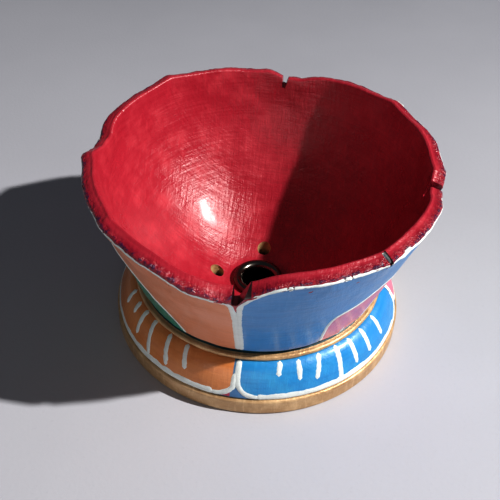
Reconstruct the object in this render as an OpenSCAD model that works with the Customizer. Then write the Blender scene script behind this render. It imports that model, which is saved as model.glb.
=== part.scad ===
// Lotus cup lamp and incense holder: a turned and carved wooden cup with four petals,
// seated in a hollow turned base, with a metal socket in the middle of its floor.
// Millimetres. Z is up and the foot stands on Z = 0. The notches lie on X and Y.

/* [Cup] */
// Width across two opposite petal tips, at the outer edge
cup_w = 92; // [84:0.5:102]
// Height of the petal tips' outer edge above the table
tip_h = 52.2; // [46:0.1:62]
// Thickness of the wall at the rim, measured level
rim_t = 3.8; // [3.4:0.1:5.5]
// How much higher the rim's inner edge stands than its outer edge
rim_slope = 0.9; // [0.4:0.1:2.5]
// Height of the bowl's floor above the table
floor_h = 9.5; // [9:0.1:13]
// Width of the level floor round the socket
floor_w = 18; // [17:0.5:22]
// How far the bowl's curve swells below a straight line
bowl_swell = 7; // [5:0.1:8]
// Width of the visible wall just above its groove
heel_w = 67; // [60:0.2:68]

/* [Petals] */
// Number of carved notches, which is also the number of petals
petals = 4; // [3:1:6]
// How far a petal's edge falls from its tip to beside a notch
crown_drop = 2.6; // [1:0.1:4]
// Depth of a notch below the petal edge beside it
notch_d = 3.6; // [2:0.1:5]
// Width of a notch at its top
notch_w = 2.6; // [1.6:0.1:4]

/* [Waist] */
// Width over the bead ring
waist_w = 68.8; // [62:0.2:74]
// Height of the bead ring's upper face above the table
waist_h = 16.2; // [15:0.1:20]
// Height of the bead ring itself
ring_h = 2.1; // [1.6:0.1:3]
// Height of the groove between the ring and the cup's wall
groove_h = 0.7; // [0.4:0.1:1.2]
// Depth of that groove behind the wall
groove_d = 0.8; // [0.4:0.1:1.4]

/* [Base] */
// Width of the foot
foot_w = 80.2; // [74:0.2:92]
// Height of the foot ring
foot_h = 5; // [4:0.1:7]
// Rounding of the foot ring's outer edges
foot_round = 0.8; // [0.3:0.1:1.5]
// How far the base shoulder sits inside the foot ring
foot_step = 0.7; // [0.3:0.1:1.5]
// Width of the base's top, under the bead ring
shoulder_w = 67; // [62:0.2:70]
// Width of the spigot under the cup, which fills the base
spigot_w = 54; // [46:0.5:58]
// Gap all round the spigot, which the glue fills
glue_gap = 0.05; // [0.02:0.01:0.15]
// Height of the spigot's underside above the table
spigot_rise = 0.6; // [0.4:0.1:1.2]

/* [Socket] */
// Bore of the metal socket
socket_bore = 8.6; // [8:0.1:10]
// Wall of the metal socket's tube
socket_wall = 0.6; // [0.4:0.05:0.9]
// Width of the socket's rolled lip
lip_w = 14.2; // [13:0.1:16]
// Height of the rolled lip above the floor
lip_h = 1.4; // [1:0.1:2]
// Thickness of the wood left under the socket's bore
socket_web = 1.65; // [1:0.05:3]
// Thickness of the tube's closed end
tube_end = 0.6; // [0.4:0.1:1]
// Running gap all round the tube
tube_gap = 0.05; // [0.02:0.01:0.1]
// Gap under the socket's lip
lip_gap = 0.05; // [0.02:0.01:0.1]
// Gap under the tube's closed end
tube_end_gap = 0.3; // [0.2:0.05:0.6]

/* [Stick holes] */
// Width of a drilled hole for an incense stick
stick_hole = 3.3; // [2.6:0.1:3.8]
// Thickness of the wood left under a drilled hole
stick_web = 2.4; // [1:0.1:4]
// Diameter of the circle that the holes lie on
stick_circle = 23.6; // [21:0.1:26]

/* [Hidden] */
$fn = 96;
trim_extra = 4;
steps = 14;
tip_r = cup_w / 2;
heel_r = heel_w / 2;
heel_z = waist_h + groove_h + groove_d / 2;
wall_top = tip_h + rim_slope + trim_extra;
spigot_r = spigot_w / 2;
drum_bore_r = spigot_r + glue_gap;
ring_low = waist_h - ring_h;
foot_r = foot_w / 2;
drum_r = foot_r - foot_step;
shoulder_r = shoulder_w / 2;
floor_r = floor_w / 2;
tube_r = socket_bore / 2 + socket_wall;
socket_hole_r = tube_r + tube_gap;
lip_low = floor_h + lip_gap;
lip_r = lip_w / 2;
socket_hole_low = spigot_rise + socket_web;
tube_low = socket_hole_low + tube_end_gap;
stick_low = spigot_rise + stick_web;
stick_ring_r = stick_circle / 2;
shoulder_curve = 1.6;

// Level distance from the axis to the outer wall, at height z.
function wall_r(z) =
    heel_r + (tip_r - heel_r) * pow((z - heel_z) / (tip_h - heel_z), 1.1);

// The bowl's curve runs from the level floor to the rim's inner edge, as an arc.
bowl_top = [tip_r - rim_t, tip_h + rim_slope];
bowl_foot = [floor_r, floor_h];
chord = norm(bowl_top - bowl_foot);
arc_r = chord * chord / (8 * bowl_swell) + bowl_swell / 2;
half_turn = asin(chord / (2 * arc_r));
chord_turn = atan2(bowl_top[1] - bowl_foot[1], bowl_top[0] - bowl_foot[0]);
arc_mid = (bowl_top + bowl_foot) / 2;
arc_centre = arc_mid + (arc_r - bowl_swell) * [-sin(chord_turn), cos(chord_turn)];

// A point of the arc: 0 at the floor, 1 at the rim.
function bowl_point(t) =
    let (turn = chord_turn - 90 + (2 * t - 1) * half_turn)
    arc_centre + arc_r * [cos(turn), sin(turn)];

// Outline of the turned cup before its petals are carved.
module cup_outline() {
    wall = [for (i = [0:steps])
        let (z = heel_z + (wall_top - heel_z) * i / steps)
        [wall_r(z), z]];
    bowl = [for (i = [0:steps]) bowl_point(1 - i / steps)];
    polygon(concat(
        [[0, spigot_rise],
         [spigot_r, spigot_rise],
         [spigot_r, waist_h],
         [heel_r - groove_d, waist_h],
         [heel_r - groove_d, waist_h + groove_h]],
        wall,
        [[bowl_top[0], wall_top]],
        bowl,
        [[0, floor_h]]
    ));
}

// What the rim's slope takes off the top of the turned cup.
module rim_trim() {
    rotate_extrude()
        polygon([
            [bowl_top[0] - 6, tip_h + rim_slope * (1 + 6 / rim_t)],
            [tip_r + 6, tip_h - rim_slope * 6 / rim_t],
            [tip_r + 6, wall_top + 5],
            [bowl_top[0] - 6, wall_top + 5]
        ]);
}

// Side view of what is carved away round one notch: a V, and the petals' falling edges.
module notch_outline() {
    reach = tip_r * sin(180 / petals);
    edge = [for (i = [0:8])
        let (u = i / 8)
        [notch_w / 2 + (reach - notch_w / 2) * u,
         tip_h + rim_slope - (crown_drop + rim_slope) * pow(1 - u, 2)]];
    polygon(concat(
        [[0, tip_h - crown_drop - notch_d]],
        edge,
        [[reach, wall_top + 5],
         [-reach, wall_top + 5]],
        [for (i = [8:-1:0]) [-edge[i][0], edge[i][1]]]
    ));
}

module notch_cut() {
    start = (bowl_top[0] - 4) * cos(180 / petals);
    translate([start, 0, 0])
        rotate([90, 0, 90])
        linear_extrude(height = tip_r + 5 - start)
        notch_outline();
}

module stick_holes() {
    for (i = [0:3])
        rotate([0, 0, 90 * i])
        translate([stick_ring_r, 0, stick_low])
        cylinder(d = stick_hole, h = tip_h);
}

module lotus_cup() {
    color([0.72, 0.11, 0.17])
    difference() {
        rotate_extrude() cup_outline();
        rim_trim();
        for (i = [0:petals - 1]) rotate([0, 0, 360 / petals * i]) notch_cut();
        translate([0, 0, socket_hole_low]) cylinder(r = socket_hole_r, h = floor_h);
        stick_holes();
    }
}

module waist_ring() {
    bead_r = waist_w / 2;
    lip = ring_h / 2;
    color([0.80, 0.60, 0.30])
    rotate_extrude()
        polygon(concat(
            [[drum_bore_r, ring_low]],
            [for (i = [0:8])
                let (turn = -90 + 180 * i / 8)
                [bead_r - lip * 0.6 + lip * 0.6 * cos(turn), ring_low + lip + lip * sin(turn)]],
            [[drum_bore_r, waist_h]]
        ));
}

module base_drum() {
    height = ring_low - foot_h;
    color([0.10, 0.50, 0.74])
    rotate_extrude()
        polygon(concat(
            [[drum_bore_r, foot_h],
             [drum_r - 0.4, foot_h]],
            [for (i = [0:10])
                let (turn = 90 * i / 10)
                [shoulder_r + (drum_r - shoulder_r) * cos(turn),
                 foot_h + 0.6 + (height - 0.6) * pow(sin(turn), shoulder_curve)]],
            [[drum_bore_r, ring_low]]
        ));
}

module foot_ring() {
    color([0.78, 0.56, 0.28])
    rotate_extrude()
        polygon(concat(
            [[drum_bore_r, 0]],
            [for (i = [0:4])
                let (turn = -90 + 90 * i / 4)
                [foot_r - foot_round + foot_round * cos(turn),
                 foot_round + foot_round * sin(turn)]],
            [for (i = [0:4])
                let (turn = 90 * i / 4)
                [foot_r - foot_round + foot_round * cos(turn),
                 foot_h - foot_round + foot_round * sin(turn)]],
            [[drum_bore_r, foot_h]]
        ));
}

module socket_liner() {
    bore_r = socket_bore / 2;
    mid_r = (lip_r + bore_r) / 2;
    half_w = (lip_r - bore_r) / 2;
    color([0.24, 0.22, 0.22])
    rotate_extrude()
        polygon(concat(
            [[0, tube_low],
             [tube_r, tube_low],
             [tube_r, lip_low]],
            [for (i = [0:10])
                let (turn = 180 * i / 10)
                [mid_r + half_w * cos(turn), lip_low + (lip_h - lip_gap) * sin(turn)]],
            [[bore_r, tube_low + tube_end],
             [0, tube_low + tube_end]]
        ));
}

lotus_cup();
waist_ring();
base_drum();
foot_ring();
socket_liner();
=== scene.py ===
# %% [markdown]
# # A painted lotus cup, from the lathe to the last brush stroke
# This lesson builds a small wooden diya cup: a turned bowl whose rim is carved into four
# petals, on a hollow turned base, with a metal socket and four stick holes in its floor.
# The frame comes first. It holds the five plain parts in metres, Z up, standing on Z = 0,
# and every finished piece is made in that same space, so nothing has to be fitted later.

# %% Load the frame
import math
import bpy
import numpy as np
from mathutils import Matrix, Vector, noise
from mathutils.bvhtree import BVHTree


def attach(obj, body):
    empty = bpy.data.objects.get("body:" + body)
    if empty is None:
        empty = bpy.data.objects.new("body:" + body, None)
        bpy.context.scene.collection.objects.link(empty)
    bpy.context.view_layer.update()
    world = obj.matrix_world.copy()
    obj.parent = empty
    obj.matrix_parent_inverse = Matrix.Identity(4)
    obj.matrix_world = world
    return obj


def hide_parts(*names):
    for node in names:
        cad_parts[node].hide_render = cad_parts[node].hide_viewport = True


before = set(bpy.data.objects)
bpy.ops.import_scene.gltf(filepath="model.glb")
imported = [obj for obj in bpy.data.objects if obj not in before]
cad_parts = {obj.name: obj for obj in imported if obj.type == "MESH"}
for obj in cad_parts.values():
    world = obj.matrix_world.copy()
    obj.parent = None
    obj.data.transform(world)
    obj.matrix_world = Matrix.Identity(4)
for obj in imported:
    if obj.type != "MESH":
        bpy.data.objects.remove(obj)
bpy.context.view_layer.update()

MM = 0.001

# %% [markdown]
# ## The view
# The cup is looked down into, from a little more than forty degrees above the table, with
# the front notch just left of the middle. A longer lens keeps the circles from stretching.
# The camera is placed by its three axes, which also gives it the slight lean of a camera
# held in the hand. A low display gamma deepens the shadows.

# %% Camera
CONTRAST_GAMMA = 0.78
bpy.context.scene.view_settings.view_transform = "Standard"
bpy.context.scene.view_settings.gamma = CONTRAST_GAMMA


def place_camera(turn, lift, lean, distance, aim, lens):
    """Looks from turn degrees round the cup and lift degrees up, at aim in mm."""
    turn, lift, lean = (math.radians(a) for a in (turn, lift, lean))
    across = Vector((math.cos(turn), math.sin(turn), 0))
    back = Vector((math.sin(turn) * math.cos(lift), -math.cos(turn) * math.cos(lift), math.sin(lift)))
    rise = back.cross(across)
    right = across * math.cos(lean) + rise * math.sin(lean)
    up = rise * math.cos(lean) - across * math.sin(lean)
    eye = (across * aim[0] + Vector((0, 0, aim[1])) + back * distance) * MM
    bpy.ops.object.camera_add()
    camera = bpy.context.object
    camera.name = "viewpoint"
    axes = Matrix((right, up, back)).transposed()
    camera.matrix_world = Matrix.Translation(eye) @ axes.to_4x4()
    camera.data.lens = lens
    camera.data.clip_start = 0.01
    bpy.context.scene.camera = camera
    return camera


camera = place_camera(turn=7.3, lift=42.6, lean=2.3, distance=235.3, aim=(-2.65, 20.7), lens=61.2)
print("camera at", [round(v, 3) for v in camera.location])

# %% [markdown]
# ## The lathe
# Almost every part of this cup was turned, so the first tool is a lathe. A plane shrunk to
# one vertex is extruded from point to point along the part's outline. The Spin tool could
# carry that thread round, but it grows slow on a long outline, so a Screw modifier does it
# in one turn round Z. Merging the doubles closes the seam and the poles, and the normals
# are made to face out after that.

# %% Turning a piece
SEAM_GAP = 0.004 * MM


def select_only(piece):
    """Makes a piece the only one selected, and the active one."""
    bpy.ops.object.select_all(action="DESELECT")
    piece.select_set(True)
    bpy.context.view_layer.objects.active = piece


def start_piece(name):
    """Gives the newest object its name and takes it into edit mode, all selected."""
    piece = bpy.context.object
    piece.name = name
    piece.data.name = name
    bpy.ops.object.mode_set(mode="EDIT")
    bpy.ops.mesh.select_mode(type="VERT")
    bpy.ops.mesh.select_all(action="SELECT")
    return piece


def finish_with(piece, kind, **settings):
    """Adds one modifier to a piece, with its settings, and applies it."""
    select_only(piece)
    change = piece.modifiers.new(kind.title(), kind)
    for name, value in settings.items():
        setattr(change, name, value)
    bpy.ops.object.modifier_apply(modifier=change.name)


def turn_piece(name, outline, steps):
    """Turns an outline of (radius, height) points, in mm, into a closed turned piece."""
    bpy.ops.object.select_all(action="DESELECT")
    bpy.ops.mesh.primitive_plane_add(size=0.001)
    piece = start_piece(name)
    bpy.ops.mesh.merge(type="CENTER")
    here = Vector((outline[0][0] * MM, 0, outline[0][1] * MM))
    bpy.ops.transform.translate(value=here)
    for radius, height in outline[1:]:
        there = Vector((radius * MM, 0, height * MM))
        bpy.ops.mesh.extrude_region_move(TRANSFORM_OT_translate={"value": there - here})
        here = there
    bpy.ops.object.mode_set(mode="OBJECT")
    finish_with(piece, "SCREW", axis="Z", angle=math.tau, steps=steps, render_steps=steps)
    bpy.ops.object.mode_set(mode="EDIT")
    bpy.ops.mesh.select_all(action="SELECT")
    bpy.ops.mesh.remove_doubles(threshold=SEAM_GAP)
    bpy.ops.mesh.normals_make_consistent(inside=False)
    bpy.ops.object.mode_set(mode="OBJECT")
    print(name, "turned:", len(piece.data.polygons), "faces")
    return piece


def arc(centre, radius, start, end, count):
    """Points of an arc, from start to end in degrees, both ends included."""
    turns = [math.radians(start + (end - start) * i / count) for i in range(count + 1)]
    return [(centre[0] + radius * math.cos(t), centre[1] + radius * math.sin(t)) for t in turns]


def along(first, last, count):
    """Points on a straight line, without its first point."""
    return [tuple(a + (b - a) * i / count for a, b in zip(first, last)) for i in range(1, count + 1)]


# %% [markdown]
# ## The cup's outline
# On the bench the cup is one block: a round spigot that fills the base, a flared wall, a
# thick rim that slopes outwards, and a deep bowl. The wall opens a little faster as it
# rises. The bowl is an arc from the level floor to the rim's inner edge. Both edges of the
# rim are rounded, because paint never leaves a knife edge.

# %% Outline of the cup
TIP_R, TIP_H = 46.0, 52.2  # the petal tips
RIM_T, RIM_RISE = 3.8, 0.9  # the rim's thickness, and how far its inner edge stands higher
HEEL_R, HEEL_H = 33.5, 17.25  # where the wall begins
FLOOR_R, FLOOR_H = 9.0, 9.5  # the level floor of the bowl
BOWL_SWELL = 7.0  # how far the bowl bulges below a straight line
SPIGOT_R, SPIGOT_RISE = 27.0, 0.6
RING_TOP, RING_LOW = 16.2, 14.1
EDGE_R = 0.9  # rounding of the rim's outer edge


def wall_r(height):
    """Radius of the cup's outer wall at a height, in mm."""
    share = max(0.0, (height - HEEL_H) / (TIP_H - HEEL_H))
    return HEEL_R + (TIP_R - HEEL_R) * share


def bowl_arc(count):
    """The bowl's curve, from the rim down to the level floor."""
    foot, top = Vector((FLOOR_R, FLOOR_H)), Vector((TIP_R - RIM_T, TIP_H + RIM_RISE))
    chord = top - foot
    radius = chord.length_squared / (8 * BOWL_SWELL) + BOWL_SWELL / 2
    inward = Vector((-chord.y, chord.x)).normalized()
    centre = (foot + top) / 2 + inward * (radius - BOWL_SWELL)
    ends = [math.degrees(math.atan2(p.y - centre.y, p.x - centre.x)) for p in (top, foot)]
    return arc(centre, radius, ends[0], ends[1], count)


def cup_outline():
    """The whole outline, from the axis below, round the wall and the rim, to the floor."""
    lower = [(0, SPIGOT_RISE)] + along((0, SPIGOT_RISE), (SPIGOT_R, SPIGOT_RISE), 6)
    lower += along((SPIGOT_R, SPIGOT_RISE), (SPIGOT_R, RING_TOP), 6)
    lower += [(31.4, RING_TOP), (31.6, 16.5), (31.7, 16.9), (32.2, 17.05)]
    heights = [HEEL_H + (TIP_H - EDGE_R - HEEL_H) * i / 44 for i in range(45)]
    wall = [(wall_r(h), h) for h in heights]
    outer_edge = arc((TIP_R - 1.15, TIP_H - 0.85), EDGE_R, -10, 75, 5)
    bowl = bowl_arc(56)
    rim = along(outer_edge[-1], (bowl[0][0] + 0.75, bowl[0][1] + 0.02), 7)
    inner_edge = arc((bowl[0][0] + 0.62, bowl[0][1] - 0.6), 0.6, 78, 175, 4)
    floor = along(bowl[-1], (0, FLOOR_H), 5)
    return lower + wall + outer_edge + rim + inner_edge + bowl[2:] + floor


cup = turn_piece("carved_cup", cup_outline(), steps=600)

# %% [markdown]
# ## Carving the petals
# The rim is still level, as it left the lathe. Each petal edge falls away from its tip
# towards the notches, so the rim is pulled down along the wall at each notch, with a sharp
# proportional falloff that reaches halfway to the tip. Small pulls after that give the
# petals their pointed tips and the unevenness of hand work. Only the rim's points are
# picked, and the falloff carries the wall and the bowl along.

# %% Pulling the rim
def points_of(piece):
    """The piece's points as rows of x, y, z, in mm."""
    rows = np.empty(len(piece.data.vertices) * 3)
    piece.data.vertices.foreach_get("co", rows)
    return rows.reshape(-1, 3) / MM


def pick(piece, chosen):
    """Selects the points where chosen is true, and nothing else."""
    mesh = piece.data
    mesh.polygons.foreach_set("select", np.zeros(len(mesh.polygons), bool))
    mesh.edges.foreach_set("select", np.zeros(len(mesh.edges), bool))
    mesh.vertices.foreach_set("select", chosen)


def turned_by(spots, angle):
    """How far each point lies round the axis from an angle, in degrees either way."""
    away = np.degrees(np.arctan2(spots[:, 1], spots[:, 0])) - angle
    return np.abs((away + 180) % 360 - 180)


def pull_rim(piece, angle, outwards, upwards, reach, falloff="SHARP", edge_only=False):
    """Moves the rim at an angle by mm outwards and upwards; the move fades over reach mm."""
    spots = points_of(piece)
    rim = (spots[:, 2] > spots[:, 2].max() - 7) & (turned_by(spots, angle) < 1.0)
    top = spots[rim, 2].max()
    rim &= spots[:, 2] > top - 2.2
    if edge_only:
        radius = np.hypot(spots[:, 0], spots[:, 1])
        rim &= radius > radius[rim].max() - 0.7
    pick(piece, rim)
    select_only(piece)
    bpy.ops.object.mode_set(mode="EDIT")
    bpy.ops.mesh.select_mode(type="VERT")
    turn = math.radians(angle)
    move = Vector((outwards * math.cos(turn), outwards * math.sin(turn), upwards)) * MM
    bpy.ops.transform.translate(
        value=move, use_proportional_edit=True, proportional_edit_falloff=falloff,
        proportional_size=reach * MM, use_proportional_connected=True)
    bpy.ops.object.mode_set(mode="OBJECT")


NOTCHES = [-90, 0, 90, 180]  # degrees round the cup
TIPS = [-45, 45, 135, -135]
for angle in NOTCHES:
    pull_rim(cup, angle, outwards=-1.0, upwards=-2.6, reach=24)
for angle in TIPS:
    pull_rim(cup, angle, outwards=0.9, upwards=0.5, reach=9)
print("petal edges now span", [round(v, 1) for v in (points_of(cup)[:, 2].max(), wall_r(49))])

# %% [markdown]
# The petal left of the front notch was carved a little lower and leans further out than its
# neighbour, and no two petals match. These are the last small pulls with a soft falloff.

# %% Hand-made differences
LEANS = [  # angle, outwards, upwards, reach
    (-98, 1.2, -1.0, 16), (-116, 0.9, -0.6, 20), (-76, -0.3, 0.5, 12),
    (170, 0.7, -0.5, 12), (-6, 0.5, 0.4, 10), (86, -0.4, 0.6, 12), (20, 0.3, 0.5, 14)]
NICKS = [  # the same, close to the notches
    (-94, 0.4, -1.5, 8), (-103, 0.3, -0.8, 10), (-85, 0.2, -1.2, 8), (-76, 0.1, -0.5, 9),
    (187, 1.1, 0.4, 7), (173, -0.9, -0.9, 7), (96, 0.2, 0.9, 7), (83, -0.3, -0.8, 7),
    (6, 0.7, 0.5, 6), (-6, -0.5, -0.4, 6)]
for angle, outwards, upwards, reach in LEANS:
    pull_rim(cup, angle, outwards, upwards, reach, falloff="SMOOTH")
for angle, outwards, upwards, reach in NICKS:
    by_front_notch = abs(angle + 90) < 20
    pull_rim(cup, angle, outwards, upwards, reach, edge_only=by_front_notch)
spots = points_of(cup)
print("cup box:", [[round(v, 1) for v in end] for end in (spots.min(0), spots.max(0))])

# %% [markdown]
# Thick paint and a hand-held gouge leave the surface a little uneven. A Displace modifier
# with a soft cloud pattern lifts and sinks the whole surface by a quarter of a millimetre.

# %% Unevenness


def make_uneven(piece, lump, height):
    """Lifts and sinks the surface in lumps of a size, by a height, both in mm."""
    clouds = bpy.data.textures.new(piece.name + "_lumps", "CLOUDS")
    clouds.noise_scale = lump * MM
    clouds.noise_depth = 2
    finish_with(piece, "DISPLACE", texture=clouds, strength=height * MM, mid_level=0.5)


make_uneven(cup, lump=9, height=0.55)

# %% [markdown]
# ## Cutting the notches and drilling the holes
# The notches are sawn and the holes drilled, so both are cut with Booleans. A notch cutter is a bar whose
# lower face is pinched into a V; a drill is a cylinder with a wider mouth where the paint chipped away. The
# drills carry their own finish, and the Boolean hands it to the faces they cut: bare wood in the holes. The
# notches get their finish afterwards.

# %% Cutters


def join_pieces(pieces, name):
    """Joins pieces into one mesh and names it."""
    bpy.ops.object.select_all(action="DESELECT")
    for piece in pieces:
        piece.select_set(True)
    bpy.context.view_layer.objects.active = pieces[0]
    bpy.ops.object.join()
    pieces[0].name = name
    pieces[0].data.name = name
    return pieces[0]


def notch_cutter(angle, bottom, width, lean=0.0, start=33.0, length=22.0):
    """A bar along the radius, pinched to a V below. lean tips it sideways, in degrees."""
    bpy.ops.object.select_all(action="DESELECT")
    bpy.ops.mesh.primitive_cube_add(size=1)
    bar = start_piece("notch_cutter")
    bpy.ops.transform.resize(value=(length * MM, width * MM, 12 * MM))
    bpy.ops.transform.translate(value=((start + length / 2) * MM, 0, (bottom + 6) * MM))
    bpy.ops.object.mode_set(mode="OBJECT")
    spots = points_of(bar)
    pick(bar, spots[:, 2] < bottom + 1)
    bpy.ops.object.mode_set(mode="EDIT")
    bpy.ops.transform.resize(value=(1, 0.18, 1), center_override=(0, 0, bottom * MM))
    bpy.ops.mesh.select_all(action="SELECT")
    bpy.ops.mesh.subdivide(
        number_cuts=5, fractal=0.12, fractal_along_normal=1.0, seed=int(abs(angle)) + 3)
    bpy.ops.transform.rotate(
        value=-math.radians(lean), orient_axis="X", center_override=(0, 0, bottom * MM))
    bpy.ops.transform.rotate(value=-math.radians(angle), orient_axis="Z", center_override=(0, 0, 0))
    bpy.ops.object.mode_set(mode="OBJECT")
    return bar


def drill(width, low, mouth, mouth_width, at):
    """A drill of a width that ends at a height and widens at the mouth's height."""
    bpy.ops.object.select_all(action="DESELECT")
    bpy.ops.mesh.primitive_cylinder_add(
        vertices=48, radius=width / 2 * MM, depth=(mouth - low) * MM,
        location=(at[0] * MM, at[1] * MM, (low + mouth) / 2 * MM))
    bit = bpy.context.object
    bpy.ops.object.transform_apply()
    start_piece("drill")
    bpy.ops.object.mode_set(mode="OBJECT")
    spots = points_of(bit)
    pick(bit, spots[:, 2] > mouth - 0.1)
    bpy.ops.object.mode_set(mode="EDIT")
    middle = Vector((at[0], at[1], mouth)) * MM
    bpy.ops.mesh.extrude_region_move(TRANSFORM_OT_translate={"value": (0, 0, 0.45 * MM)})
    grow = mouth_width / width
    bpy.ops.transform.resize(value=(grow, grow, 1), center_override=middle)
    bpy.ops.mesh.extrude_region_move(TRANSFORM_OT_translate={"value": (0, 0, 5 * MM)})
    bpy.ops.mesh.select_all(action="SELECT")
    bpy.ops.mesh.normals_make_consistent(inside=False)
    bpy.ops.object.mode_set(mode="OBJECT")
    return bit


def plain(name, colour):
    """A named material that gets its real nodes further down."""
    material = bpy.data.materials.new(name)
    material.use_nodes = True
    material.diffuse_color = (*colour, 1)
    return material


crimson = plain("crimson_paint", (0.40, 0.022, 0.042))
# Near black for the notches' sawn sides, which is painted shade inside the notches, and for a patch of rim
# beside the front notch.
black_and_notch_shade = plain("black_paint_and_notch_shade", (0.02, 0.01, 0.01))
bare_wood = plain("bare_wood", (0.6, 0.4, 0.2))
# Near-black teal for the groove under the wall: painted shade in the groove.
groove_shade_teal = plain("painted_groove_shade", (0.01, 0.05, 0.06))
cup.data.materials.append(crimson)

STICK_CIRCLE_R, STICK_LOW, STICK_W = 11.8, 3.0, 3.3
BORE_W, BORE_LOW = 9.9, 2.25
NICK_AT = -44.5
notches = [
    notch_cutter(-90, bottom=44.0, width=5.8, lean=-12),
    notch_cutter(0, bottom=46.4, width=5.2, lean=8),
    notch_cutter(90, bottom=48.0, width=4.6, lean=6),
    notch_cutter(180, bottom=45.4, width=6.4, lean=-12),
    notch_cutter(NICK_AT, bottom=50.6, width=3.2, lean=8, start=43.6)]
bits = []
for angle in NOTCHES:
    turn = math.radians(angle)
    place = (STICK_CIRCLE_R * math.cos(turn), STICK_CIRCLE_R * math.sin(turn))
    bits.append(drill(STICK_W, STICK_LOW, FLOOR_H + 0.25, 3.9, place))
bits.append(drill(BORE_W, BORE_LOW, 9.3, 10.4, (0, 0)))
drills = join_pieces(bits, "drills")
drills.data.materials.append(bare_wood)
finish_with(
    cup, "BOOLEAN", object=drills, operation="DIFFERENCE", solver="EXACT", material_mode="TRANSFER")
for cutter in notches:
    whole = cup.data.copy()
    for solver in ("EXACT", "FAST"):
        finish_with(cup, "BOOLEAN", object=cutter, operation="DIFFERENCE", solver=solver)
        if 0.9 * len(whole.polygons) < len(cup.data.polygons) != len(whole.polygons):
            break
        cup.data = whole.copy()
    print("notch cut by", solver, len(cup.data.polygons) - len(whole.polygons), "faces more")
for cutter in notches + [drills]:
    bpy.data.objects.remove(cutter)
print("cup cut:", len(cup.data.polygons), "faces,", [m.name for m in cup.data.materials])

# %% [markdown]
# The drilled faces already carry bare wood. The sawn faces are found by their place, high in the wall
# beside a notch, and by their normal, which points round the rim; they are painted near black, which is
# painted shade inside the notches. The groove under the wall is found by its place and painted near-black
# teal, which is painted shade in the groove.

# %% Finishes by place


def give_finish(piece, material, chosen):
    """Assigns a material to the faces where chosen(centre in mm, normal) is true."""
    if material.name not in piece.data.materials:
        piece.data.materials.append(material)
    index = piece.data.materials.find(material.name)
    count = 0
    for face in piece.data.polygons:
        if chosen(face.center / MM, face.normal):
            face.material_index = index
            count += 1
    print(material.name, "on", count, "faces of", piece.name)


def direction(centre):
    """The angle of a place round the cup, in degrees."""
    return math.degrees(math.atan2(centre.y, centre.x))


def sawn(centre, normal):
    """The sides of the front notch, the left notch and the nick, painted black inside as painted shade."""
    round_rim = Vector((-centre.y, centre.x, 0)).normalized()
    near = min(abs((direction(centre) - a + 180) % 360 - 180) for a in (-90, 180, NICK_AT))
    in_rim = centre.xy.length > 36 and centre.z > 44
    return near < 5 and in_rim and abs(normal.dot(round_rim)) > 0.55


def smudged(centre, normal):
    """The top of the rim just right of the front notch, which gets the same near-black finish."""
    in_rim = centre.xy.length > 40.8 and centre.z > 44
    return -90 < direction(centre) < -85 and in_rim and normal.z > -0.3


def in_groove(centre, normal):
    """The groove between the wall and the ring, which is painted dark as the shade in it."""
    return RING_TOP - 0.2 < centre.z < 17.2 and centre.xy.length > 28


give_finish(cup, black_and_notch_shade, sawn)
give_finish(cup, black_and_notch_shade, smudged)
give_finish(cup, groove_shade_teal, in_groove)

# %% [markdown]
# The rim's outer edge is where the crimson and the outside colours run into each other. A
# number on every point, 1 at the edge and 0 a few millimetres away from it, lets the paint
# show that later. It is measured from the point that lies furthest out in each direction.

# %% A number for the rim's edge


def shade_softly(piece, angle=40):
    """Smooths the shading, and keeps edges sharper than the angle, in degrees."""
    select_only(piece)
    bpy.ops.object.shade_smooth_by_angle(angle=math.radians(angle))


def mark_rim(piece):
    """Stores rim_edge on the points: 1 at the rim's outer edge, 0 away from it."""
    spots = points_of(piece)
    radius = np.hypot(spots[:, 0], spots[:, 1])
    sector = (np.degrees(np.arctan2(spots[:, 1], spots[:, 0])) % 360).astype(int) % 360
    edge = np.array([radius[sector == s].max() for s in range(360)])
    smooth = sum(np.roll(edge, k) for k in range(-2, 3)) / 5
    inset, fade = 0.35, 1.9
    near = 1 - np.clip(np.abs(radius - smooth[sector] + inset) / fade, 0, 1)
    near[spots[:, 2] < 40] = 0
    number = piece.data.attributes.new("rim_edge", "FLOAT", "POINT")
    number.data.foreach_set("value", near)
    print("rim edge marked on", int((near > 0.5).sum()), "points")


def dab_rim(piece, lump, height):
    """Lays thick, lumpy dabs of paint along the marked rim only."""
    near = np.empty(len(piece.data.vertices), dtype=np.float32)
    piece.data.attributes["rim_edge"].data.foreach_get("value", near)
    group = piece.vertex_groups.new(name="rim")
    for level in range(1, 5):
        chosen = np.nonzero((near > level / 5 - 0.1) & (near <= level / 5 + 0.1))[0]
        group.add([int(i) for i in chosen], level / 4, "REPLACE")
    group.add([int(i) for i in np.nonzero(near > 0.9)[0]], 1.0, "REPLACE")
    dabs = bpy.data.textures.new("rim_dabs", "CLOUDS")
    dabs.noise_scale = lump * MM
    dabs.noise_depth = 3
    finish_with(
        piece, "DISPLACE", texture=dabs, strength=height * MM, mid_level=0.5, vertex_group="rim")


mark_rim(cup)
dab_rim(cup, lump=2.0, height=0.5)
shade_softly(cup)

# %% [markdown]
# ## The base, the ring, the foot and the socket
# Below the cup sits the hollow base with its rounded shoulder, then the bead ring in the
# waist, and the foot ring that everything stands on. Each is turned from its own outline
# and given a little unevenness, as the cup was.

# %% Turning the base
GLUE_GAP = 0.05
BORE_R = SPIGOT_R + GLUE_GAP
FOOT_H, FOOT_R = 5.0, 40.1
SHOULDER_R, DRUM_R = 33.6, 39.4
BEAD_AT, BEAD_R = (33.65, 14.85), 0.7
ROUND_R = 0.7  # the foot's rounded edges


def shoulder(share):
    """(radius, height) on the base's shoulder: 0 under the ring, 1 at the foot."""
    turn = math.radians(90 * (1 - share))
    low = FOOT_H + 0.6
    return (SHOULDER_R + (DRUM_R - SHOULDER_R) * math.cos(turn),
            low + (RING_LOW - low) * math.sin(turn) ** 1.6)


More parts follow.
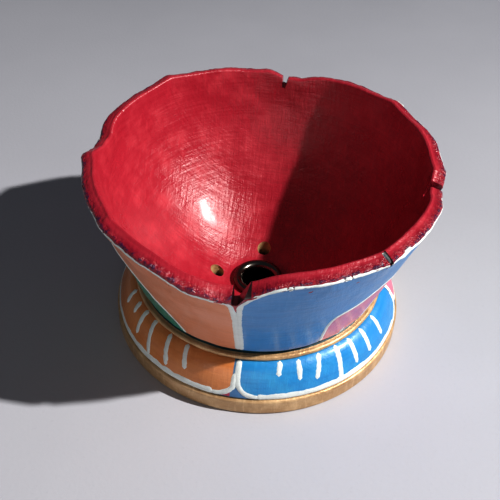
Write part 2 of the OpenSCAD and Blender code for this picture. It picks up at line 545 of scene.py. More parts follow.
base_line = [(BORE_R, FOOT_H)] + along((BORE_R, FOOT_H), (BORE_R, RING_LOW), 4) + [(30, RING_LOW)]
base_line += [shoulder(i / 40) for i in range(41)]
base_line += [(39.2, FOOT_H + 0.15), (38.6, FOOT_H), (BORE_R, FOOT_H)]
base = turn_piece("turned_base", base_line, steps=360)

ring_line = [(BORE_R, RING_LOW), (31.5, RING_LOW)] + arc(BEAD_AT, BEAD_R, -88, 88, 10)
ring_line += [(33.0, 15.6), (32.3, RING_TOP), (BORE_R, RING_TOP), (BORE_R, RING_LOW)]
ring = turn_piece("waist_bead", ring_line, steps=300)

foot_line = [(BORE_R, 0), (33, 0)] + arc((39.4, ROUND_R), ROUND_R, -90, 0, 5)
foot_line += along((FOOT_R, ROUND_R), (FOOT_R, 4.2), 4) + arc((39.4, 4.3), ROUND_R, 0, 90, 5)
foot_line += [(33, FOOT_H), (BORE_R, FOOT_H), (BORE_R, 0)]
foot = turn_piece("foot_band", foot_line, steps=300)
make_uneven(base, lump=8, height=0.3)
make_uneven(ring, lump=5, height=0.3)

# %% [markdown]
# The socket is a pressed metal cup. Its sheet comes up the bore, rolls over into a round
# lip that rests on the floor, and is closed at the bottom. It is turned without unevenness,
# because metal keeps its shape.

# %% Turning the socket
LIP_LOW = FLOOR_H + 0.05
SOCKET_R, TUBE_R, TUBE_LOW = 4.3, 4.9, 2.55
lip = arc((6.0, LIP_LOW + 0.45), 1.1, -60, 90, 9)
throat = arc((5.9, LIP_LOW + 0.05), 1.5, 92, 178, 8)
socket_line = [(0, TUBE_LOW), (4.4, TUBE_LOW)] + arc((4.4, TUBE_LOW + 0.5), 0.5, -90, 0, 4)
socket_line += [(TUBE_R, LIP_LOW - 0.3), (5.1, LIP_LOW + 0.02), (6.2, LIP_LOW)] + lip[1:] + throat
socket_line += [(SOCKET_R, 8.0), (SOCKET_R, 3.8)] + arc((SOCKET_R - 0.6, 3.75), 0.6, 0, -90, 4)
socket_line += [(0, 3.15)]
socket = turn_piece("metal_socket", socket_line, steps=128)
for piece in (base, ring, foot, socket):
    shade_softly(piece)

# %% [markdown]
# ## Laying paint
# The colours outside are thick acrylic. Every panel and every white line is a thin skin of
# its own that lies on the wood, so that its edge stays sharp however near one looks. Each
# begins as a grid, which is a flat strip of paint. Its cells are then carried to the wall:
# a ray is shot at the wood from outside, and the cell settles where the ray lands.

# %% Feeling for the surface
graph = bpy.context.evaluated_depsgraph_get()
wall_feel = BVHTree.FromObject(cup, graph)
base_feel = BVHTree.FromObject(base, graph)


def around(radius, angle, height):
    """The place at a radius, an angle and a height, in mm and degrees."""
    turn = math.radians(angle)
    return Vector((radius * math.cos(turn), radius * math.sin(turn), height)) * MM


def land(feel, near, out, start):
    """Where a ray that starts mm outside a place lands, and the normal there."""
    spot, normal, _, _ = feel.ray_cast(near + out * start * MM, -out, 2 * start * MM)
    return (spot, normal) if spot else (near, out)


def on_wall(angle, height):
    """The point and normal on the cup's outside, at an angle and a height in mm."""
    turn = math.radians(angle)
    out = Vector((math.cos(turn), math.sin(turn), -0.35)).normalized()
    return land(wall_feel, around(wall_r(height), angle, height), out, 6)


def on_base(angle, share):
    """The point and normal on the base's shoulder: share 0 at the ring, 1 at the foot."""
    turn = math.radians(angle)
    (r0, z0), (r1, z1) = shoulder(max(share - 0.03, 0)), shoulder(min(share + 0.03, 1))
    out = Vector(((z0 - z1) * math.cos(turn), (z0 - z1) * math.sin(turn), r1 - r0)).normalized()
    radius, height = shoulder(share)
    return land(base_feel, around(radius, angle, height), out, 3)


def rim_height(angle):
    """Height of the rim's outer edge at an angle, in mm, felt for from above."""
    turn = math.radians(angle)
    inwards = Vector((-math.cos(turn), -math.sin(turn), 0))
    height = 54.0
    while height > 42:
        spot, _, _, _ = wall_feel.ray_cast(around(60, angle, height), inwards, 19 * MM)
        if spot:
            return height
        height -= 0.1
    return height


print("rim edge heights:", [round(rim_height(a), 1) for a in (-135, -105, -80, -45, 45, 135)])

# %% [markdown]
# A panel is a wide strip between a lower and an upper edge. A brush line is a long, narrow
# strip that follows a path of (angle, height) places; its width swells and shakes a little,
# and its middle stands proud of its edges, as wet paint does. Both get a back a tenth of a
# millimetre behind, inside the wood, so that each skin is a closed body.

# %% Laying panels and lines


def new_strip(cells_along, cells_across):
    """A flat grid one metre wide, and its points as (along, across) from 0 to 1."""
    bpy.ops.object.select_all(action="DESELECT")
    bpy.ops.mesh.primitive_grid_add(
        x_subdivisions=cells_along, y_subdivisions=cells_across, size=1, calc_uvs=True)
    strip = bpy.context.object
    return strip, [(v.co.x + 0.5, v.co.y + 0.5) for v in strip.data.vertices]


def lay_panel(finish, where, first, last, low, high, lift=0.05):
    """Lays a panel from angle first to last, between low(angle) and high(angle)."""
    strip, cells = new_strip(max(12, int(abs(last - first) * 1.3)), 26)
    for point, (u, v) in zip(strip.data.vertices, cells):
        angle = first + (last - first) * u
        bottom, top = low(angle), high(angle)
        spot, normal = where(angle, bottom + (top - bottom) * v)
        point.co = spot + normal * lift * MM
    strip.data.materials.append(finish)
    return strip


def smooth_path(places, pieces):
    """Even steps on a soft curve through places, by Catmull and Rom's rule."""
    ends = [places[0]] + list(places) + [places[-1]]
    path = []
    for i in range(len(places) - 1):
        a, b, c, d = (Vector(p) for p in ends[i:i + 4])
        for j in range(pieces):
            t = j / pieces
            path.append(0.5 * (2 * b + (c - a) * t + (2 * a - 5 * b + 4 * c - d) * t * t
                               + (3 * b - a - 3 * c + d) * t * t * t))
    return path + [Vector(places[-1])]


def lay_line(where, places, width, proud=0.16, taper="round", shake=0.12):
    """Lays a white brush line of a width in mm along places, a list of (angle, height)."""
    path = smooth_path(places, 8)
    spots = [where(*p) for p in path]
    steps = [0.0]
    for (a, _), (b, _) in zip(spots, spots[1:]):
        steps.append(steps[-1] + (b - a).length / MM)
    length = steps[-1]
    strip, cells = new_strip(max(6, int(length / 0.55)), 6)
    seed = Vector((places[0][0] * 0.37, places[0][1] * 0.71, length * 0.13))

    def at(distance):
        """The place on the path at a distance along it."""
        i = max(0, min(len(steps) - 2, int(np.searchsorted(steps, distance)) - 1))
        gap = max(steps[i + 1] - steps[i], 1e-6)
        return path[i].lerp(path[i + 1], (distance - steps[i]) / gap)

    for point, (u, v) in zip(strip.data.vertices, cells):
        here = at(u * length)
        spot, normal = where(*here)
        ahead, _ = where(*at(min(u * length + 0.3, length)))
        behind, _ = where(*at(max(u * length - 0.3, 0)))
        side = normal.cross(ahead - behind).normalized()
        if taper == "brush":
            share = max(0.06, math.sin(math.pi * min(1, 0.06 + 0.92 * u)) ** 0.55)
        else:
            near_end = min(u, 1 - u) * length / (width * 0.5)
            share = math.sqrt(max(0.03, 1 - (1 - min(1, near_end)) ** 2))
        wave = noise.noise(seed + Vector((u * length * 0.45, 0, 0)))
        fine = noise.noise(seed + Vector((u * length * 1.7, v * 0.8, 3)))
        half = width / 2 * share * (1 + shake * 1.6 * wave + shake * 1.2 * fine)
        across = (2 * v - 1) * half + shake * 0.9 * wave * width * 0.5
        near = spot + side * across * MM
        tree = wall_feel if where is on_wall else base_feel
        found = tree.find_nearest(near, 3 * MM)
        if found[0]:
            near, normal = found[0], found[1]
        swell = proud * share * (1 - abs(2 * v - 1) ** 2.4) * (1 + 0.25 * fine) + 0.03
        point.co = near + normal * swell * MM
    strip.data.materials.append(white)
    return strip


def close_skins(strips, name, back=0.12):
    """Joins strips of paint into one piece and gives each its back."""
    skin = join_pieces(strips, name)
    bpy.ops.object.mode_set(mode="EDIT")
    bpy.ops.mesh.select_all(action="SELECT")
    bpy.ops.mesh.normals_make_consistent(inside=False)
    bpy.ops.object.mode_set(mode="OBJECT")
    finish_with(skin, "SOLIDIFY", thickness=back * MM, offset=-1)
    shade_softly(skin, angle=50)
    print(name, "laid:", len(skin.data.polygons), "faces")
    return skin


coral = plain("coral_paint", (0.70, 0.27, 0.15))
cup_blue = plain("petal_blue_paint", (0.035, 0.22, 0.52))
base_blue = plain("base_blue_paint", (0.02, 0.25, 0.55))
orange = plain("orange_paint", (0.62, 0.23, 0.07))
pink = plain("pink_paint", (0.6, 0.15, 0.25))
teal = plain("teal_paint", (0.01, 0.25, 0.18))
red_spot = plain("red_spot_paint", (0.45, 0.03, 0.08))
spot_blue = plain("blue_spot_paint", (0.06, 0.18, 0.38))
white = plain("white_line_paint", (0.75, 0.8, 0.78))
gold = plain("gold_paint", (0.52, 0.33, 0.17))
ground_blue = plain("base_ground_paint", (0.05, 0.16, 0.30))

# %% [markdown]
# ## The petals' colours
# Seen from outside, each petal is one colour between two notches. Its panel ends just under
# the rim and rounds off at its upper corners, so the white lines that frame it run together
# into one thick line below every notch. A second colour fills a hill at the foot of the
# petal, from the ring upwards.

# %% Petal panels
HEEL = 17.3
PETALS = [  # where it starts, its colour, its hill's colour, and the hill's edge, as (turn, height)
    (-180, coral, teal, [
        (4, 17.3), (8, 29), (17, 38), (28, 41), (38, 38.5), (46, 34), (53, 28.5), (59, 23.2),
        (63, 19.3), (64.5, 17.3)]),
    (-90, cup_blue, pink, [
        (36, 17.3), (35.2, 22.4), (35, 27.3), (36.5, 30.4), (41, 32), (46, 33), (53, 34.5),
        (61, 35), (69, 32.5), (73, 27), (74, 17.3)]),
    (0, teal, coral, [
        (30, 17.3), (29.5, 24), (32, 29), (38, 31.5), (46, 32), (53, 31), (58, 28), (60.5, 23),
        (60, 17.3)]),
    (90, pink, cup_blue, [
        (31, 17.3), (31, 25), (34, 30), (41, 32.5), (50, 32), (57, 29), (61, 23), (61, 17.3)])]


def corner(away, size):
    """How far a rounded corner has come in, at a distance from the panel's side."""
    gap = max(0.0, size - away)
    return size - math.sqrt(max(0.0, size * size - gap * gap))


felt = [rim_height(a) for a in range(-180, 180, 2)]
edge_at = [(felt[i - 1] + 2 * felt[i] + felt[(i + 1) % 180]) / 4 for i in range(180)]


def edge_height(angle):
    """The rim's outer edge at any angle, read between the measured ones."""
    place = ((angle + 180) % 360) / 2
    i = int(place)
    return edge_at[i % 180] * (1 - place + i) + edge_at[(i + 1) % 180] * (place - i)


def from_side(first, angle):
    """Degrees from an angle to the nearer side of the quarter that begins at first."""
    return min((angle - first) % 360, (first + 90 - angle) % 360)


def petal_top(first, angle):
    """Upper edge of a petal's panel: just under the rim, rounded at its sides."""
    away = math.radians(from_side(first, angle)) * 41
    lower = 2.2 * min(1, max(0, (-142 - angle) / 15)) if first == -180 else 0  # left petal
    return edge_height(angle) - 1.8 - lower - corner(away, 5.5)


def lay_hill(finish, edge):
    """Lays a patch between the ring and a curved edge, a list of (angle, height)."""
    top = smooth_path(edge, 10)
    patch, cells = new_strip(72, 22)
    for point, (u, v) in zip(patch.data.vertices, cells):
        place = min(len(top) - 1.001, u * (len(top) - 1))
        upper = top[int(place)].lerp(top[int(place) + 1], place % 1)
        lower = Vector((edge[0][0] + (edge[-1][0] - edge[0][0]) * u, HEEL - 0.1))
        spot, normal = on_wall(*lower.lerp(upper, v))
        point.co = spot + normal * 0.09 * MM
    patch.data.materials.append(finish)
    return patch


cup_panels = []
for first, outer, inner, edge in PETALS:
    cup_panels.append(lay_panel(
        outer, on_wall, first + 0.15, first + 89.85, lambda a: HEEL, lambda a: petal_top(first, a)))
    cup_panels.append(lay_hill(inner, [(first + turn, height) for turn, height in edge]))
petal_paint = close_skins(cup_panels, "petal_colours")

# %% [markdown]
# The white lines are drawn last, by hand, so they hide where the colours meet. Each petal
# gets one frame line, up one side, under the rim and down the other side, and one line over
# the hill. Two of the petal tips end in a blob where the brush was lifted.

# %% White lines on the cup


def frame_line(first, width):
    """The frame of one petal as three strokes: up its left side, under the rim, and down."""
    left, right = first + 0.7, first + 89.3
    left_turn, right_turn = first + 7.5, first + 82.5

    def under_rim(angle):
        """The place on the panel's upper edge at an angle."""
        return angle, petal_top(first, angle)

    up = [(left, HEEL), (left, 24), (left, 31), (left + 0.1, 36), (left + 1, petal_top(first, left + 1.4)),
          under_rim(first + 4.4), under_rim(left_turn)]
    across = [under_rim(a) for a in np.linspace(left_turn - 1.5, right_turn + 1.5, 15)]
    down = [under_rim(right_turn), under_rim(first + 85.6), (right - 1, petal_top(first, right - 1.4)),
            (right - 0.1, 36), (right, 31), (right, 24), (right, HEEL)]
    return [lay_line(on_wall, up, width * 1.3), lay_line(on_wall, across, width, shake=0.07),
            lay_line(on_wall, down, width * 1.3)]


TICKS = [  # angle, height of the stroke, and how far its end leans over, in degrees
    (-44, 3.0, 1.0), (-33, 8.5, 5.0), (-22, 5.5, 3.0), (40, 5, 2), (52, 7, -2), (130, 6, 2), (143, 7, -3)]
cup_lines = []
for first, _, _, edge in PETALS:
    cup_lines += frame_line(first, 1.15)
    cup_lines.append(lay_line(on_wall, [(first + turn, height) for turn, height in edge], 1.1))
for angle, tall, lean in TICKS:
    stroke = [(angle, HEEL), (angle + lean * 0.5, HEEL + tall * 0.5), (angle + lean, HEEL + tall)]
    cup_lines.append(lay_line(on_wall, stroke, 1.2, taper="brush"))
for angle in (-38.5, 44):
    high = petal_top(-90 if angle < 0 else 0, angle) + 0.2
    blob = [(angle - 2, high - 0.3), (angle, high), (angle + 3.5, high - 0.1)]
    cup_lines.append(lay_line(on_wall, blob, 1.9, proud=0.35))
cup_outline_paint = close_skins(cup_lines, "cup_white_lines")

# %% [markdown]
# ## The base's colours
# The base carries four panels under the four petals: orange, blue, pink and green. White
# lines frame each at its sides and foot, with rounded lower corners that leave a small
# three-cornered gap at the foot. Short white strokes hang from the ring like eyelashes.

# %% Base panels and lines
BASE_PANELS = [(-180, orange), (-90, base_blue), (0, pink), (90, teal)]
FOOT_SHARE = 0.925


def base_low(first, angle):
    """Lower edge of a base panel, as a share of the shoulder, rounded at its sides."""
    away = math.radians(from_side(first, angle)) * 38.5
    return FOOT_SHARE - corner(away, 7.0) / 13.5


base_skins = []
for first, colour in BASE_PANELS:
    base_skins.append(lay_panel(
        colour, on_base, first + 0.3, first + 88.4, lambda a: base_low(first, a), lambda a: 0.0))
for angle in NOTCHES:
    for finish, start, end, top in ((red_spot, -6.5, -2.0, 0.8), (spot_blue, -2.0, 6.5, 0.7)):
        base_skins.append(lay_panel(
            finish, on_base, angle + start, angle + end, lambda a: 1.0, lambda a: top, lift=0.03))
base_paint = close_skins(base_skins, "base_colours")

LASHES = {  # the strokes of a panel: angle at the ring, lean, and where they start and end
    -180: [(33, 1, 0.10, 0.42), (39.5, 1.5, 0.04, 0.66), (46.5, 4.5, 0.03, 0.82),
           (57, 3.5, 0.05, 0.74), (66.5, 2.3, 0.05, 0.60), (25, 1, 0.1, 0.5)],
    -90: [(17.5, -1.2, 0.07, 0.42), (25.3, -0.6, 0.1, 0.55), (34.6, -3.0, 0.08, 0.62),
          (43.2, -1.4, 0.06, 0.93), (50.4, 0.5, 0.08, 0.70), (58.6, 0.3, 0.08, 0.68),
          (68.4, 0.2, 0.09, 0.62)],
    0: [(18, 1, 0.08, 0.5), (27, 1, 0.07, 0.6), (36, 0.5, 0.08, 0.72), (45, 0, 0.06, 0.85),
        (54, -1, 0.08, 0.7), (63, -1, 0.08, 0.6), (72, -1, 0.1, 0.5)],
    90: [(20, 1, 0.08, 0.55), (30, 1, 0.07, 0.68), (40, 0, 0.08, 0.8), (50, 0, 0.06, 0.8),
         (60, -1, 0.08, 0.66), (70, -1, 0.08, 0.52)]}
ROUNDING = [0.3, 0.9, 1.8, 3.2, 5.4, 8.5]  # degrees from the side, through the rounded corner

base_lines = []
for first, _ in BASE_PANELS:
    left, right = first + 0.35, first + 89.2
    down = [(left, 0.05), (left + 0.1, 0.2), (left, 0.36)]
    down += [(left + s, base_low(first, left + s)) for s in ROUNDING]
    across = [(a, base_low(first, a)) for a in np.linspace(left + 7.5, right - 7.5, 15)]
    up = [(right - s, base_low(first, right - s)) for s in reversed(ROUNDING)] + [(right + 0.3, 0.38)]
    for line, width in ((down, 1.5), (across, 2.5), (up, 1.5)):
        base_lines.append(lay_line(on_base, line, width))
    for turn, lean, start, end in LASHES[first]:
        a = first + turn
        lash = [(a, start), (a + lean * 0.4, (start + end) / 2), (a + lean, end)]
        base_lines.append(lay_line(on_base, lash, 1.45, shake=0.2))
base_outline_paint = close_skins(base_lines, "base_white_lines")

# %% [markdown]
# ## Finishes
# The paint is acrylic put on with a small brush over turned wood, then varnished. It is
# built from shader nodes. One small helper adds a node and joins its sockets; another
# starts a group, which is a set of nodes that several finishes share.

# %% Helpers for nodes


def add(tree, kind, sockets=None, **settings):
    """Adds a node; each socket gets a plain value or another node's output."""
    made = tree.nodes.new("ShaderNode" + kind)
    for key, value in settings.items():
        setattr(made, key, value)
    for key, value in (sockets or {}).items():
        if isinstance(value, bpy.types.NodeSocket):
            tree.links.new(value, made.inputs[key])
        else:
            made.inputs[key].default_value = value
    return made


def start_group(name, takes, gives):
    """A node group with its inputs (name, kind, start value) and outputs (name, kind)."""
    group = bpy.data.node_groups.new(name, "ShaderNodeTree")
    for label, kind, value in takes:
        socket = group.interface.new_socket(name=label, in_out="INPUT", socket_type="NodeSocket" + kind)
        socket.default_value = value
    for label, kind in gives:
        group.interface.new_socket(name=label, in_out="OUTPUT", socket_type="NodeSocket" + kind)
    return group, group.nodes.new("NodeGroupInput").outputs, group.nodes.new("NodeGroupOutput").inputs


def blend(tree, share, first, second):
    """Goes from the first colour to the second as share goes from 0 to 1."""
    return add(tree, "Mix", {0: share, 6: first, 7: second}, data_type="RGBA").outputs[2]


def stretch(tree, value, low, high, to_low=0.0, to_high=1.0):
    """Spreads the range low..high of a value over to_low..to_high."""
    return add(tree, "MapRange", {"Value": value, "From Min": low, "From Max": high,
                                  "To Min": to_low, "To Max": to_high}).outputs[0]


def grain(tree, spot, scale, detail=4.0, rough=0.6, turn=(0, 0, 0)):
    """Soft noise at places spot, finer where scale is larger; scale may differ by axis."""
    place = add(tree, "Mapping", {"Vector": spot, "Scale": scale, "Rotation": turn}).outputs[0]
    fine = {"Vector": place, "Scale": 1.0, "Detail": detail, "Roughness": rough}
    return add(tree, "TexNoise", fine).outputs[0]


def plus(tree, first, second):
    """Adds two values."""
    return add(tree, "Math", {0: first, 1: second}, operation="ADD").outputs[0]


def times(tree, first, second):
    """Multiplies two values."""
    return add(tree, "Math", {0: first, 1: second}, operation="MULTIPLY").outputs[0]


def place_in(tree):
    """Where a point lies on its piece, in metres."""
    return add(tree, "TexCoord").outputs["Object"]


def dress(material, colour, roughness, height, strength, distance):
    """Joins a finish's colour, roughness and height to its skin, and returns skin and bump."""
    tree = material.node_tree
    skin = tree.nodes["Principled BSDF"]
    bump = add(tree, "Bump", {"Height": height, "Strength": strength, "Distance": distance})
    tree.links.new(colour, skin.inputs["Base Color"])
    tree.links.new(roughness, skin.inputs["Roughness"])
    tree.links.new(bump.outputs[0], skin.inputs["Normal"])
    return skin, bump


# %% [markdown]
# Hand-laid paint is never even. The brush leaves long streaks that run round the piece, and
# shorter ones across them; the coat is thicker in some places, and fine dust sits in it.
# The group turns one colour into that, and gives the roughness and the height of the
# streaks as well.

# %% Hand-laid paint
hand_paint, given, made = start_group(
    "hand_paint",
    [("Color", "Color", (0.5, 0.5, 0.5, 1)), ("Dark", "Color", (0.2, 0.2, 0.2, 1)),
     ("Light", "Color", (0.8, 0.8, 0.8, 1)), ("Streaks", "Float", 0.5), ("Roughness", "Float", 0.35)],
    [("Color", "Color"), ("Roughness", "Float"), ("Height", "Float")])
spot = place_in(hand_paint)
round_it = grain(hand_paint, spot, (75, 75, 950), detail=5, rough=0.65)
across_it = grain(hand_paint, spot, (1300, 190, 190), turn=(0.5, 0.9, 0.7))
other_way = grain(hand_paint, spot, (190, 1300, 190), turn=(0.8, 0.3, -0.5))
cloud = grain(hand_paint, spot, (150, 150, 150), detail=3)
dust = grain(hand_paint, spot, (2600, 2600, 2600), detail=2)

colour = given["Color"]
for pattern, low, high, tone in ((round_it, 0.45, 0.75, "Dark"), (cloud, 0.48, 0.72, "Light"),
                                 (across_it, 0.55, 0.8, "Light")):
    share = times(hand_paint, stretch(hand_paint, pattern, low, high), given["Streaks"])
    colour = blend(hand_paint, share, colour, given[tone])
hand_paint.links.new(colour, made["Color"])
uneven = stretch(hand_paint, cloud, 0.3, 0.7, -0.07, 0.13)
hand_paint.links.new(plus(hand_paint, uneven, given["Roughness"]), made["Roughness"])
height = times(hand_paint, round_it, 0.55)
for pattern, share in ((across_it, 0.5), (other_way, 0.5), (dust, 0.12)):
    height = plus(hand_paint, height, times(hand_paint, pattern, share))
hand_paint.links.new(height, made["Height"])

# %% [markdown]
# On the rim the crimson was laid last, in thick dabs, and it picked up wet blue and purple
# from the outside, so the edge is speckled. The group takes the paint's colour and the
# number stored on the rim's points, and breaks the dark edge up with noise.

# %% The bleed along the rim
rim_bleed, given, made = start_group(
    "rim_bleed", [("Color", "Color", (0.5, 0, 0, 1)), ("Edge", "Float", 0.0)],
    [("Color", "Color"), ("Height", "Float")])
spot = place_in(rim_bleed)
dabs = grain(rim_bleed, spot, (700, 700, 700), detail=4, rough=0.7)
flakes = grain(rim_bleed, spot, (1700, 1700, 1700), detail=2)
near_edge = stretch(rim_bleed, given["Edge"], 0.05, 0.5, 0, 0.75)
deeper = times(rim_bleed, near_edge, stretch(rim_bleed, dabs, 0.25, 0.6))
colour = blend(rim_bleed, deeper, given["Color"], (0.2, 0.004, 0.02, 1))
reach = plus(rim_bleed, given["Edge"], stretch(rim_bleed, dabs, 0.25, 0.75, -0.6, 0.65))
colour = blend(rim_bleed, stretch(rim_bleed, reach, 0.85, 1.15, 0, 0.85), colour, (0.035, 0.012, 0.06, 1))
on_edge = stretch(rim_bleed, given["Edge"], 0.1, 0.4)
orange_fleck = times(rim_bleed, stretch(rim_bleed, flakes, 0.66, 0.74), on_edge)
colour = blend(rim_bleed, times(rim_bleed, orange_fleck, 0.7), colour, (0.75, 0.1, 0.06, 1))
rim_bleed.links.new(colour, made["Color"])
rim_bleed.links.new(times(rim_bleed, dabs, given["Edge"]), made["Height"])

# %% [markdown]
# Each colour gets a darker and a lighter neighbour: where the brush ran dry the wood's
# primer shines through, and where it was full the colour is deeper. The varnish is a
# second, clear coat over the paint.

# %% Painted finishes


def paint(material, dark, light, streaks=0.5, rough=0.38, relief=0.35, coat=0.35):
    """Gives a material the hand-laid paint, and returns its nodes for further work."""
    tree = material.node_tree
    look = add(tree, "Group", {}, node_tree=hand_paint)
    for label, value in (("Color", material.diffuse_color[:]), ("Dark", (*dark, 1)), ("Light", (*light, 1)),
                         ("Streaks", streaks), ("Roughness", rough)):
        look.inputs[label].default_value = value
    skin, bump = dress(material, look.outputs["Color"], look.outputs["Roughness"], look.outputs["Height"],
                       relief, 0.0005)
    skin.inputs["Coat Weight"].default_value = coat
    skin.inputs["Coat Roughness"].default_value = 0.22
    return tree, skin, look.outputs, bump


tree, skin, look, bump = paint(
    crimson, (0.30, 0.008, 0.020), (0.62, 0.06, 0.085), streaks=0.42, rough=0.31, relief=0.65, coat=0.12)
edge = add(tree, "Attribute", attribute_name="rim_edge").outputs["Fac"]
bleed = add(tree, "Group", {}, node_tree=rim_bleed)
tree.links.new(look["Color"], bleed.inputs["Color"])
tree.links.new(edge, bleed.inputs["Edge"])
tree.links.new(bleed.outputs["Color"], skin.inputs["Base Color"])
thick = times(tree, bleed.outputs["Height"], 3.2)
tree.links.new(plus(tree, look["Height"], thick), bump.inputs["Height"])
glossy = plus(tree, look["Roughness"], times(tree, edge, -0.14))
tree.links.new(glossy, skin.inputs["Roughness"])

for material, dark, light in [
        (coral, (0.50, 0.17, 0.095), (0.76, 0.37, 0.25)),
        (cup_blue, (0.022, 0.12, 0.34), (0.08, 0.28, 0.58)),
        (base_blue, (0.008, 0.16, 0.42), (0.05, 0.36, 0.62)),
        (orange, (0.45, 0.13, 0.04), (0.72, 0.32, 0.12)),
        (pink, (0.42, 0.08, 0.15), (0.75, 0.30, 0.42)),
        (teal, (0.004, 0.15, 0.11), (0.03, 0.38, 0.28)),
        (red_spot, (0.2, 0.01, 0.04), (0.55, 0.08, 0.14)),
        (spot_blue, (0.03, 0.1, 0.25), (0.1, 0.26, 0.5)),
        # painted shade inside the notches
        (black_and_notch_shade, (0.008, 0.002, 0.006), (0.12, 0.01, 0.03)),
        # painted shade in the groove
        (groove_shade_teal, (0.002, 0.015, 0.02), (0.02, 0.09, 0.10)),
        (ground_blue, (0.03, 0.08, 0.18), (0.12, 0.28, 0.45))]:
    paint(material, dark, light)

# %% [markdown]
# A white line is one pull of a loaded brush. Its hairs leave fine furrows along the line,
# so here the noise is stretched along the strip, using the strip's own measure of length
# and width.

# %% White line paint
tree, skin, look, bump = paint(
    white, (0.50, 0.53, 0.55), (0.86, 0.88, 0.86), streaks=0.4, rough=0.42, relief=0.3, coat=0.25)
hairs = grain(tree, add(tree, "TexCoord").outputs["UV"], (5, 26, 1), detail=3)
thin = stretch(tree, hairs, 0.52, 0.72, 0, 0.42)
tree.links.new(blend(tree, thin, look["Color"], (0.42, 0.47, 0.52, 1)), skin.inputs["Base Color"])
tree.links.new(plus(tree, look["Height"], times(tree, hairs, 1.6)), bump.inputs["Height"])

# %% [markdown]
# The ring and the foot carry gold paint: an ochre colour with metal flakes in it. The
# flakes catch the light one by one, and the brush dragged across the lathe marks, so it
# looks worn in short bands.

# %% Gold paint
tree, skin, look, bump = paint(
    gold, (0.36, 0.19, 0.085), (0.80, 0.58, 0.34), streaks=0.65, rough=0.40, relief=0.5, coat=0.15)
flake = add(tree, "TexVoronoi", {"Vector": place_in(tree), "Scale": 2400.0}).outputs["Color"]
shine = add(tree, "SeparateColor", {0: flake}).outputs[0]
tree.links.new(stretch(tree, shine, 0.0, 1.0, 0.12, 0.62), skin.inputs["Metallic"])

# %% [markdown]
# The socket is polished metal gone dark, with smudges and fine scratches. Down the bore its colour is
# painted towards near black, darker the deeper one looks: painted shade in the deep hole, while the lip
# keeps the polished tone.

# %% Metal
metal_dark = plain("dark_polished_metal", (0.16, 0.14, 0.12))
tree = metal_dark.node_tree
spot = place_in(tree)
smudge = grain(tree, spot, (420, 420, 420), detail=4)
scratch = grain(tree, spot, (300, 300, 4000), detail=2)
height = add(tree, "SeparateXYZ", {0: spot}).outputs[2]
# Painted shade: the colour runs to near black down the bore, below the lip.
above_bore_shade = plus(tree, stretch(tree, height, 0.0088, 0.0104), stretch(tree, smudge, 0.3, 0.7, -0.15, 0.15))
polished = blend(tree, stretch(tree, smudge, 0.4, 0.7), (0.17, 0.15, 0.13, 1), (0.09, 0.08, 0.075, 1))
tone = blend(tree, above_bore_shade, (0.012, 0.010, 0.009, 1), polished)
skin, bump = dress(metal_dark, tone, stretch(tree, smudge, 0.3, 0.7, 0.12, 0.34), scratch, 0.15, 0.0002)
skin.inputs["Metallic"].default_value = 1.0

# %% [markdown]
# The bare wood in the drilled holes shows the growth rings of a pale, soft wood, and is painted near black
# towards the bottom of each hole: painted shade in the deep holes.

# %% Bare wood
tree = bare_wood.node_tree
spot = place_in(tree)
bend = grain(tree, spot, (120, 120, 120), detail=2)
rings = grain(tree, spot, (900, 90, 900), detail=4)
pores = grain(tree, spot, (3200, 3200, 500), detail=2)
tan = blend(tree, stretch(tree, rings, 0.35, 0.65), (0.46, 0.29, 0.14, 1), (0.30, 0.17, 0.07, 1))
tan = blend(tree, stretch(tree, bend, 0.4, 0.7, 0, 0.5), tan, (0.52, 0.36, 0.19, 1))
height = add(tree, "SeparateXYZ", {0: spot}).outputs[2]
# Painted shade: the wood darkens to near black towards the bottom of the holes.
hole_shade_depth = plus(tree, height, stretch(tree, bend, 0.3, 0.7, -0.0006, 0.0006))
tan = blend(tree, stretch(tree, hole_shade_depth, 0.0068, 0.0098), (0.035, 0.018, 0.010, 1), tan)
dress(bare_wood, tan, stretch(tree, pores, 0.3, 0.7, 0.6, 0.85), pores, 0.5, 0.0003)

# %% [markdown]
# The last finishes go on whole pieces. The ring is gold, and its inner top beside the groove gets the
# groove's near-black teal, which is painted shade.

# %% Finishes for whole pieces
socket.data.materials.append(metal_dark)
base.data.materials.append(ground_blue)
ring.data.materials.append(gold)
foot.data.materials.append(gold)
# Painted shade: the ring's inner top next to the groove takes the groove's dark teal.
give_finish(ring, groove_shade_teal, lambda centre, normal: centre.z > 15.5 and 31 < centre.xy.length < 33.3)
print("finishes:", len([m for m in bpy.data.materials if m.users]))
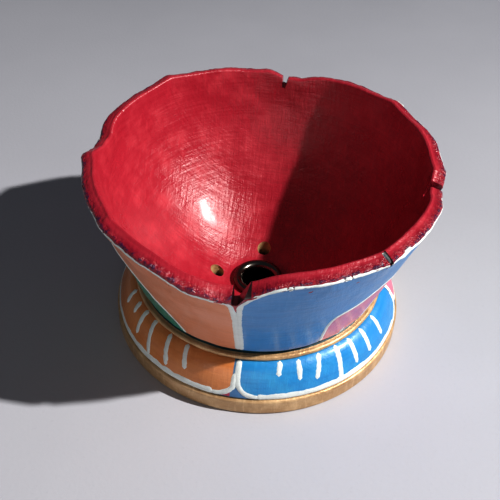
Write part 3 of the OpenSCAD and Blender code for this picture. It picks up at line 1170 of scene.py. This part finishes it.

# %% [markdown]
# ## The table, the light and the frame
# A table covered with pale paper lies under the cup. The paper is painted a little darker away from the
# viewer, which stands for the light falling off across the table (painted shade), and its fibres show
# faintly.

# %% Table
bpy.ops.object.select_all(action="DESELECT")
bpy.ops.mesh.primitive_plane_add(size=3)
table = bpy.context.object
table.name = "table_top"
paper = plain("pale_paper", (0.62, 0.63, 0.68))
table.data.materials.append(paper)
tree = paper.node_tree
spot = place_in(tree)
soft = grain(tree, spot, (14, 14, 14), detail=3)
fibre = grain(tree, spot, (900, 900, 900), detail=3)
away = add(tree, "SeparateXYZ", {0: spot}).outputs[1]
# Painted shade: the paper darkens towards the back, as the light falls off.
painted_falloff = plus(tree, stretch(tree, away, -0.02, 0.22), stretch(tree, soft, 0.3, 0.7, -0.06, 0.06))
tone = blend(tree, painted_falloff, (0.49, 0.495, 0.54, 1), (0.30, 0.305, 0.34, 1))
tone = blend(tree, stretch(tree, fibre, 0.62, 0.8, 0, 0.25), tone, (0.36, 0.365, 0.41, 1))
dress(paper, tone, stretch(tree, fibre, 0.3, 0.7, 0.75, 0.9), fibre, 0.12, 0.0004)

# %% [markdown]
# One small bright lamp stands to the right, low enough to throw the long clear shadow. The
# sky's pale light fills that shadow faintly, and a wide weak lamp stands in for a pale wall
# in front of the cup.

# %% Light


def place_lamp(name, at, aim_height, watts, width, colour):
    """A square lamp at a place, turned towards the cup's axis at a height, all in metres."""
    bpy.ops.object.light_add(type="AREA", location=at)
    lamp = bpy.context.object
    lamp.name = name
    lamp.data.energy = watts
    lamp.data.size = width
    lamp.data.color = colour
    lamp.rotation_euler = (Vector((0, 0, aim_height)) - lamp.location).to_track_quat("-Z", "Y").to_euler()
    lamp.visible_camera = False


place_lamp("low_sun", (0.87, -0.034, 0.88), 0.02, 25, 0.035, (1.0, 0.975, 0.94))
place_lamp("pale_wall_bounce", (-0.06, -0.68, 0.12), 0.03, 1.5, 0.5, (1.0, 0.96, 0.91))
sky = bpy.data.worlds.new("pale_sky")
bpy.context.scene.world = sky
sky.use_nodes = True
sky.node_tree.nodes["Background"].inputs["Color"].default_value = (0.80, 0.87, 1.0, 1)
sky.node_tree.nodes["Background"].inputs["Strength"].default_value = 0.095

# %% [markdown]
# Every piece rides the body it belongs to, and the design's plain parts that the turned pieces stand in for
# are hidden.

# %% Bodies
ON_LAMP = [(cup, "painted_cup"), (petal_paint, "painted_cup"), (cup_outline_paint, "painted_cup"),
           (base, "painted_base"), (base_paint, "painted_base"), (base_outline_paint, "painted_base"),
           (ring, "gold_ring"), (foot, "gold_foot")]
for piece, slot in ON_LAMP:
    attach(piece, "lamp")
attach(socket, "socket")
for piece, node in ((cup, "lotus_cup"), (base, "base_drum"), (ring, "waist_ring"), (foot, "foot_ring"),
                    (socket, "socket_liner")):
    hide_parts(node)
